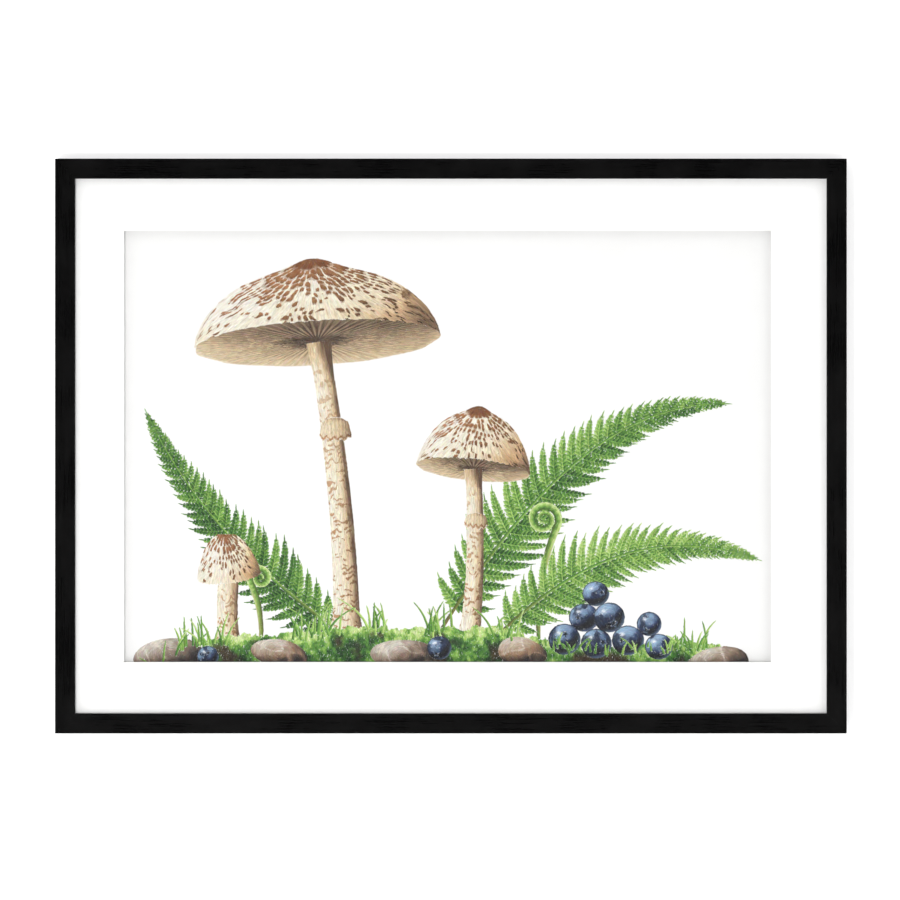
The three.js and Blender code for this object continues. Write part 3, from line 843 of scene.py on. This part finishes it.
def moss_top(x, seed):
    """How high the moss reaches at each x, running out below the window's edge at both sides."""
    hills = 15 * (clouds(x, x * 0, 60, seed) - 0.3) + 9 * np.cos(x / 85 + 0.8)
    hills = hills + 4 * (noise(x, x * 0, 7, seed) - 0.5)
    return hills - 181 - 60 * smooth(235, 318, np.abs(x - 6)) ** 1.2


def draw_moss(seed):
    """Tufts and clumps of moss with soil between them."""
    where, x, z = page.patch(-HALF_WIDE, HALF_WIDE, -HALF_HIGH, -130)
    top = moss_top(x, seed)
    clump = clouds(x, z, 19, seed + 4)
    tuft = 0.6 * noise(x + 0.2 * z, z, 3.2, seed + 7) + 0.4 * noise(x, z, 1.3, seed + 8)
    tone = 0.88 * (0.2 + 0.6 * smooth(17, 0, top - z) + 1.25 * (clump - 0.5) + 0.95 * (tuft - 0.5))
    bare = smooth(0.48, 0.3, clump) * smooth(1, 9, top - z)
    rgb = mix(ramp(tone, GREENS), SOIL * (0.7 + 0.7 * tuft)[..., None], bare * 0.85)
    ragged = 3.5 * (noise(x, z, 1.8, seed + 11) - 0.3)
    grain = pi / 2 + 1.1 * (noise(x, z, 8, seed + 2) - 0.5)
    page.lay(where, z < top + ragged, rgb, grain, reach=2.2, girth=0.7)


def draw_grass(seed, spots, count, tallest, moss_seed):
    """Blades that rise from the moss, each near one of the spots."""
    local = np.random.default_rng(seed)
    for _ in range(count):
        x = local.choice(spots) + local.normal(0, 9)
        z = moss_top(np.array((x,)), moss_seed)[0] - local.uniform(0, 9)
        height = tallest * local.uniform(0.4, 1.0)
        lean = local.normal(0, 0.42)
        tone = local.uniform(0.3, 0.75)
        points = ((x, z), (x + lean * height * 0.2, z + height * 0.6), (x + lean * height, z + height))

        def paint(t, s, tone=tone):
            return ramp(tone + 0.18 * s + 0.15 * t, GREENS)

        draw_stalk(bezier(points, np.linspace(0, 1, 10)), lambda t: (1 - t) ** 0.6 + 0.12, paint)


def stem_profile(foot, taper, bulb, bulb_reach, flare):
    """Half a stem's width: a bulb at its foot, a slow taper and a flare under the cap."""
    return lambda t: foot - taper * t + bulb * np.exp(-((t / bulb_reach) ** 2)) + flare * smooth(0.9, 1, t)


# Every stem and frond starts at one height, which the moss hides
ROOT = -196
MOSS_SEED = 31


def lay_out_drawing():
    """The whole still life, from back to front."""
    page.piece = "drawing_fern_left"
    draw_frond(((-70, ROOT), (-190, -120), (-252, -40), (-286, 36)), 50, 1, 0.38, 30)
    draw_crozier(-176, -190, 62, -10, 1.7, 9, 1)
    page.piece = "drawing_fern_right"
    draw_frond(((-20, ROOT), (60, -60), (150, 46), (268, 40)), 60, 2, 0.47, 34)
    draw_crozier(86, -190, 116, 18, 1.9, 13, -1)
    page.piece = "drawing_fern_low"
    draw_frond(((30, ROOT), (110, -110), (196, -70), (296, -108)), 50, 3, 0.56, 30)
    page.piece = "drawing_parasol_stem"
    draw_gills(-123, 98.5, 115.6, 22, 0.06, 70, 2)
    draw_stem(((-96, ROOT), (-92, -80), (-122, 99)), stem_profile(12.5, 3.6, 9, 0.1, 2.6), 4)
    draw_ring(-106.5, 24, 10.6, 15, 0.05, 3)
    page.piece = "drawing_parasol_cap"
    draw_cap(-123, 98, 116, 70, 21, 0.06, 9, 0.3, 7)
    page.piece = "drawing_young_parasols"
    draw_gills(24, -21.5, 53.6, 11, -0.1, 52, 5)
    draw_stem(((18, ROOT), (30, -120), (24, -21)), stem_profile(9.5, 2.6, 5, 0.12, 1.6), 9)
    draw_cap(24, -22, 54, 54, 10.5, -0.1, 6, 0.8, 17, rings=9, power=2.6, belly=0.75)
    draw_ring(27, -65, 8.0, 10, -0.04, 8)
    draw_stem(((-205, ROOT), (-210, -160), (-206, -118)), stem_profile(9.5, 0, 4, 0.2, 0), 12)
    draw_cap(-206, -122, 30, 40, -7, 0.12, 3, 1.0, 23, rings=7, power=2.4, belly=0.8)
    page.piece = "drawing_ground"
    draw_moss(MOSS_SEED)
    pebbles = (
        (-262, -196, 34, 15, 0.1, 0.1),
        (-158, -196, 26, 14, -0.2, 0.3),
        (-42, -197, 30, 15, 0.05, 0.15),
        (70, -194, 24, 13, -0.1, 0.4),
        (256, -203, 30, 13, 0.06, 0.2),
    )
    for seed, pebble in enumerate(pebbles, 1):
        draw_pebble(*pebble, seed)
    draw_grass(5, (-252, -226, -132, -118, -66, -8, 52, 232), 90, 30, MOSS_SEED)
    page.piece = "drawing_berries"
    lower = ((110, -182, 15), (140, -186, 14.5), (170, -183, 15), (199, -189, 13))
    upper = [perched(*lower[k:k + 2], radius) for k, radius in enumerate((14, 14.5, 11.5))]
    berries = (perched(*upper[:2], 12.5), *upper, *lower, (-8, -190, 11.5), (-226, -198, 10))
    for seed, berry in enumerate(berries, 3):
        draw_berry(*berry, seed)
    page.piece = "drawing_front_grass"
    draw_grass(8, (104, 126, 156, 186, 212), 34, 13, MOSS_SEED)


# Strokes

# How high the first strokes lie over the sheet, and how far the last lie over them
SHEET_GAP = 0.05
STROKES_THICK = 0.25

# A stroke follows the grain in a few steps each way, and its ends run on a little. One that is too short is
# left out, and one whose middle is too short gets a share of its ends
STEPS = 3
OVERSHOOT = 0.22
SHORTEST = 0.35
SHORTEST_MIDDLE = 0.1
END_SHARE = 0.3

# How far the colour may change along a stroke: a sharp one stops at any edge, and a soft one runs over it
SHARP = 0.13
SOFT = 2.0

# The share of light that white pencil gives back
PAPER_ALBEDO = 0.86


def cells_at(x, z):
    """The cells that places are in, or the nearest ones on the page."""
    rows = np.clip(((z + HALF_HIGH) * CELLS_A_MM).astype(int), 0, ROWS - 1)
    return rows, np.clip(((x + HALF_WIDE) * CELLS_A_MM).astype(int), 0, COLUMNS - 1)


def follow(x, z, heading, length, colour_step):
    """Points along the grain from each place, stopped where the shape ends or its colour changes."""
    home = cells_at(x, z)
    going = np.ones(len(x), bool)
    points = []
    for _ in range(STEPS):
        ahead_x, ahead_z = x + np.cos(heading) * length / STEPS, z + np.sin(heading) * length / STEPS
        cells = cells_at(ahead_x, ahead_z)
        change = np.abs(page.colour[cells] - page.colour[home]).max(1)
        going &= (page.shape[cells] == page.shape[home]) & (change < colour_step)
        x, z = np.where(going, ahead_x, x), np.where(going, ahead_z, z)
        turn = (page.grain[cells] - heading + pi / 2) % pi - pi / 2
        heading = np.where(going, heading + np.clip(turn, -0.5, 0.5), heading)
        points.append(np.stack((x, z), 1))
    points[-1] = points[-1] + OVERSHOOT * np.stack((np.cos(heading), np.sin(heading)), 1)
    return points


def make_strokes(gap, width, seed, longer=1.0, pressure=1.0, spare_pale=0.0, colour_step=SHARP, hues=0.012):
    """One pass of the pencil over all that is covered: four points, a width, a colour and a piece each."""
    local = np.random.default_rng(seed)
    x, z = np.meshgrid(np.arange(-HALF_WIDE, HALF_WIDE, gap), np.arange(-HALF_HIGH, HALF_HIGH, gap))
    x, z = (x + local.random(x.shape) * gap).ravel(), (z + local.random(z.shape) * gap).ravel()
    cells = cells_at(x, z)
    drawn = (page.shape[cells] > 0) & (local.random(len(x)) > spare_pale * page.colour[cells].mean(1))
    x, z = x[drawn], z[drawn]
    cells = cells_at(x, z)
    length = page.reach[cells] * longer * local.uniform(0.35, 0.68, len(x))
    ahead = follow(x, z, page.grain[cells], length, colour_step)
    behind = follow(x, z, page.grain[cells] + pi, length, colour_step)
    points = np.stack((behind[2], (behind[0] + behind[1]) / 2, (ahead[0] + ahead[1]) / 2, ahead[2]), 1)
    stub = np.hypot(*(points[:, 2] - points[:, 1]).T) < SHORTEST_MIDDLE
    points[stub, 1:3] += END_SHARE * (points[stub][:, (0, 3)] - points[stub, 1:3])
    wide = np.minimum(width, page.girth[cells]) * local.uniform(0.75, 1.25, len(x))
    colour = page.colour[cells]
    if colour_step == SOFT:
        colour = (colour + page.colour[cells_at(*ahead[0].T)] + page.colour[cells_at(*behind[0].T)]) / 3
    colour = colour * (1 - local.normal(0, 0.065, (len(x), 1))) + local.normal(0, hues, (len(x), 3))
    colour = np.clip(mix(PAPER, colour, pressure), 0, 1)
    piece = np.array(page.pieces)[page.shape[cells]]
    long_enough = np.hypot(*(points[:, 3] - points[:, 0]).T) > SHORTEST
    return [a[long_enough] for a in (points, wide, colour, piece)]


def made_marks():
    """The marks laid one by one, but for those that something in front covers."""
    points, wide, colour, shape = (np.array(column) for column in zip(*page.marks))
    shows = page.shape[cells_at(*points.mean(1).T)] == shape
    piece = np.array(page.pieces)[shape]
    return [a[shows] for a in (points, wide, np.clip(colour, 0, 1), piece)]


def linear(colour):
    """Screen colours as shares of light."""
    return np.where(colour < 0.04045, colour / 12.92, ((colour + 0.055) / 1.055) ** 2.4)


def outlines(points, wide):
    """Six corners for each stroke, pointed at both ends."""
    ways = points[:, 2:] - points[:, :2]
    ways = ways / np.maximum(np.linalg.norm(ways, axis=2, keepdims=True), 1e-9)
    aside = np.stack((-ways[..., 1], ways[..., 0]), 2) * wide[:, None, None] / 2
    a, b, c, d = (points[:, k] for k in range(4))
    return np.stack((a, b - aside[:, 0], c - aside[:, 1], d, c + aside[:, 1], b + aside[:, 0]), 1)


def bake_cells(colour):
    """A six-sided cell of the bake's map for each stroke, with no gaps and like colours side by side."""
    count = len(colour)
    columns = int(np.ceil(np.sqrt(count)))
    rows = int(np.ceil(count / columns))
    rank = np.empty(count, int)
    rank[np.argsort(colour.sum(1))] = np.arange(count)
    column, row = rank % columns, rank // columns
    corner = np.stack((2 * column, row + 0.5 * (column % 2)), 1)
    stroke = np.array(((0, 0.5), (1, 0), (2, 0), (3, 0.5), (2, 1), (1, 1)))
    return (corner[:, None] + stroke) / (2 * columns + 1, rows + 0.5)


def stroke_mesh(name, corners, colour, material):
    """All of a piece's strokes as one mesh, each with two pointed ends and a middle."""
    count = len(corners)
    loops = np.array((0, 1, 5, 1, 2, 4, 5, 2, 3, 4))
    mesh = bpy.data.meshes.new(name)
    mesh.vertices.add(count * 6)
    mesh.vertices.foreach_set("co", corners.astype(np.float32).ravel())
    mesh.loops.add(count * len(loops))
    mesh.loops.foreach_set("vertex_index", (np.arange(count)[:, None] * 6 + loops).ravel().astype(np.int32))
    mesh.polygons.add(count * 3)
    starts = np.arange(count)[:, None] * len(loops) + np.array((0, 3, 7))
    mesh.polygons.foreach_set("loop_start", starts.ravel().astype(np.int32))
    mesh.update(calc_edges=True)
    paint = mesh.color_attributes.new("pencil_colour", "FLOAT_COLOR", "POINT")
    rgba = np.ones((count, 6, 4), np.float32)
    rgba[..., :3] = linear(colour)[:, None] * PAPER_ALBEDO
    paint.data.foreach_set("color", rgba.ravel())
    uv = mesh.uv_layers.new(name="OFBake")
    uv.data.foreach_set("uv", bake_cells(colour)[:, loops].astype(np.float32).ravel())
    add_piece(mesh, material)


def window_middle():
    """The middle of the mat's window, from the corners of its hole."""
    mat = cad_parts["mat_board"]
    corners = [mat.matrix_world @ v.co for v in mat.data.vertices]
    (left, _, bottom), (right, _, top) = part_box("mat_board")
    hole = [c for c in corners if left + MM < c.x < right - MM and bottom + MM < c.z < top - MM]
    xs, zs = [c.x for c in hole], [c.z for c in hole]
    return (min(xs) + max(xs)) / 2, (min(zs) + max(zs)) / 2


def draw_still_life():
    """Lays the drawing out, goes over it in pencil, and makes each piece's mesh."""
    lay_out_drawing()
    layers = (
        make_strokes(1.3, 1.7, 1, longer=1.5, pressure=0.93, colour_step=SOFT),
        made_marks(),
        make_strokes(1.05, 0.9, 2, longer=1.1, pressure=0.95),
        make_strokes(0.92, 0.5, 3, spare_pale=0.45, hues=0.022),
    )
    points, wide, colour, piece = (np.concatenate(parts) for parts in zip(*layers))
    count = len(wide)
    level = np.concatenate([np.full(len(layer[1]), k) for k, layer in enumerate(layers)])
    rank = np.argsort(np.argsort(level + 0.9 * np.random.default_rng(4).random(count)))
    height = SHEET_GAP + STROKES_THICK * rank / count
    across, upward = outlines(points, wide).transpose(2, 0, 1)
    centre_x, centre_z = window_middle()
    sheet_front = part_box("print_sheet")[0][1]
    corners = np.empty((count, 6, 3))
    corners[..., 0] = centre_x + across * MM
    corners[..., 1] = sheet_front - height[:, None] * MM
    corners[..., 2] = centre_z + upward * MM
    material = pencil()
    for name in dict.fromkeys(page.pieces[1:]):
        own = piece == name
        stroke_mesh(name, corners[own], colour[own], material)


draw_still_life()


# The stage and its light

def plane(name, size, location, rotation, material):
    bpy.ops.mesh.primitive_plane_add(size=size, location=location, rotation=rotation)
    made = bpy.context.object
    made.name = name
    made.data.materials.append(material)


def plaster(name, glow=0.0, one_sided=False):
    """Matt white. A one-sided plaster is seen from its front only, and light and other views pass it."""
    finish = Finish(name, (0.9, 0.9, 0.9), Roughness=0.95, Specular_IOR_Level=0.1)
    set_inputs(finish.shader, {"Emission Color": (1, 1, 1, 1), "Emission Strength": glow})
    finish.relief(finish.noise(0.004, detail=3), 0.00003)
    if one_sided:
        front = finish.maths("SUBTRACT", 1, finish.node("NewGeometry").outputs["Backfacing"])
        seen = finish.maths("MULTIPLY", front, finish.node("LightPath").outputs["Is Camera Ray"])
        mixer = finish.node("MixShader")
        finish.link(seen, mixer.inputs["Fac"])
        finish.link(finish.node("BsdfTransparent").outputs["BSDF"], mixer.inputs[1])
        finish.link(finish.shader.outputs["BSDF"], mixer.inputs[2])
        finish.link(mixer.outputs["Shader"], finish.tree.nodes["Material Output"].inputs["Surface"])
    return finish.material


def key_light():
    """A lamp that is aimed at the picture's middle and that nothing reflects."""
    data = bpy.data.lights.new("key", "AREA")
    data.shape = "SQUARE"
    data.size = KEY_SIZE
    data.energy = KEY_POWER
    light = bpy.data.objects.new("key", data)
    light.location = (KEY_ASIDE, KEY_AWAY, middle.z - KEY_BELOW)
    light.rotation_euler = (middle - light.location).to_track_quat("-Z", "Y").to_euler()
    light.visible_glossy = False
    bpy.context.scene.collection.objects.link(light)


def map_range(tree, value, *limits):
    node = tree.nodes.new("ShaderNodeMapRange")
    for name, limit in zip(("From Min", "From Max", "To Min", "To Max"), limits):
        node.inputs[name].default_value = limit
    tree.links.new(value, node.inputs["Value"])
    return node


def studio():
    """A white world with a dark patch behind the camera, and a plain white backdrop."""
    world = bpy.data.worlds.new("studio")
    world.use_nodes = True
    world.cycles.sampling_method = "NONE"
    tree = world.node_tree
    sky = tree.nodes["Background"]
    sky.inputs["Color"].default_value = (1, 1, 1, 1)
    direction = tree.nodes.new("ShaderNodeTexCoord")
    parts = tree.nodes.new("ShaderNodeSeparateXYZ")
    tree.links.new(direction.outputs["Generated"], parts.inputs["Vector"])
    around = map_range(tree, parts.outputs["Y"], -cos(DARK_TO), -cos(DARK_FROM), BEHIND_CAMERA, AMBIENT)
    ray = tree.nodes.new("ShaderNodeLightPath")
    seen = map_range(tree, ray.outputs["Is Camera Ray"], 0, 1, AMBIENT, BACKDROP)
    tree.links.new(around.outputs["Result"], seen.inputs["To Min"])
    tree.links.new(seen.outputs["Result"], sky.inputs["Strength"])
    bpy.context.scene.world = world
    bpy.context.scene.view_settings.view_transform = "Standard"


plane("floor", STAGE_SIZE, (0, 0, low.z - FLOOR_DROP), (0, 0, 0), plaster("floor_plaster"))
wall_plaster = plaster("wall_plaster", WALL_GLOW, True)
plane("wall", STAGE_SIZE, (0, high.y + WALL_GAP, middle.z), (pi / 2, 0, 0), wall_plaster)
studio()
key_light()
